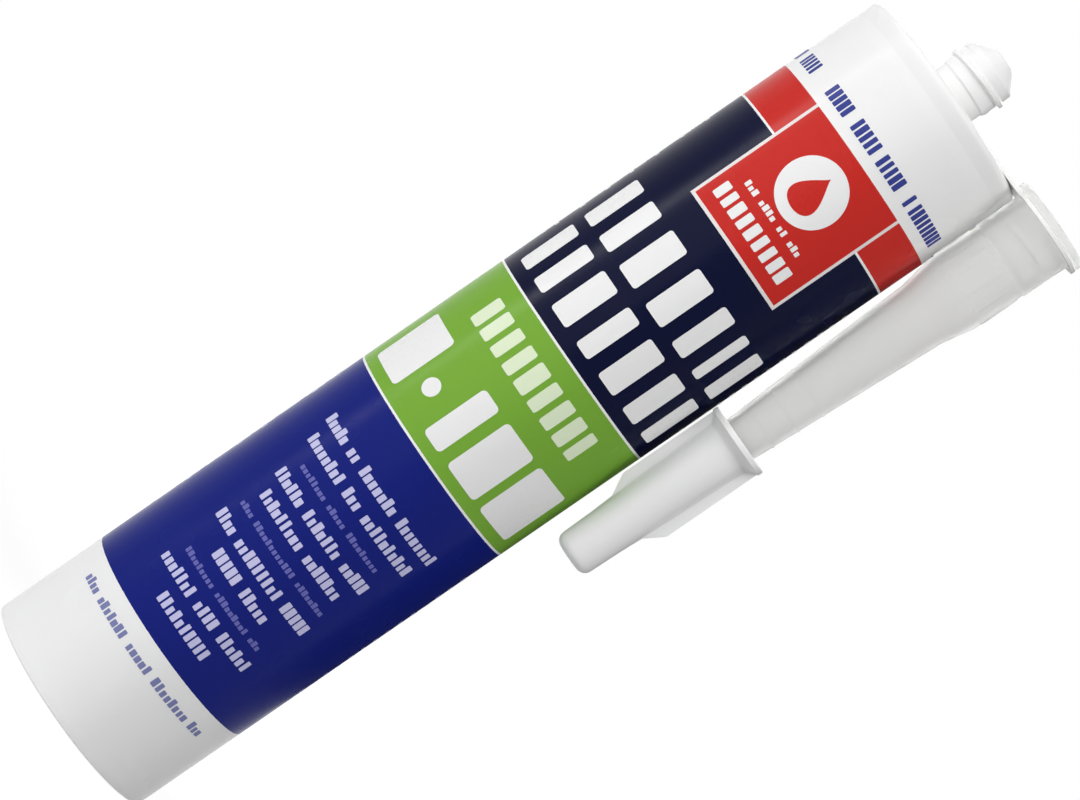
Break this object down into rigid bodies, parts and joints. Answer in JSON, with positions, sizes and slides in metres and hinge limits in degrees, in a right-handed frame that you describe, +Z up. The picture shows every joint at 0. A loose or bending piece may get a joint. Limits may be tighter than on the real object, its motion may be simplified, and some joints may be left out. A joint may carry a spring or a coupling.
{
  "type": "caulk tube",
  "caption": "Upright sealant cartridge with a threaded, sealed neck and a sliding piston; its tapered nozzle with winged cap hangs beside it.",
  "frame": {"origin": "middle of the bottom of the whole part's box, on the surface the barrel's open foot stands on", "axes": "+Z up along the barrel, from its foot to its neck; +X from the barrel towards the hanging nozzle; the print's front faces 75 degrees from +X towards -Y"},
  "size_m": [0.0692, 0.0494, 0.2324],
  "materials": {
    "barrel_white": "satin moulded polyethylene with printed colour fields",
    "piston_white": "moulded polyethylene",
    "paste": "wet smooth paste",
    "nozzle_natural": "cloudy natural polyethylene",
    "cap_white": "moulded polyethylene",
    "carrier_white": "moulded polyethylene"
  },
  "bodies": {
    "cartridge": {"barrel": "barrel_white", "sealant": "paste", "nozzle_carrier": "carrier_white"},
    "piston": {"piston": "piston_white"},
    "nozzle": {"nozzle": "nozzle_natural"},
    "cap": {"nozzle_cap": "cap_white"}
  },
  "joints": [
    {"name": "piston_slide", "type": "slide", "parent": "cartridge", "child": "piston", "axis": [0, 0, 1], "range_m": [0, 0.177], "deforming": ["sealant"]},
    {"name": "nozzle_lift", "type": "slide", "parent": "cartridge", "child": "nozzle", "axis": [0, 0, 1], "range_m": [0, 0.122]},
    {"name": "cap_pull", "type": "slide", "parent": "nozzle", "child": "cap", "axis": [0, 0, -1], "range_m": [0, 0.045]}
  ]
}
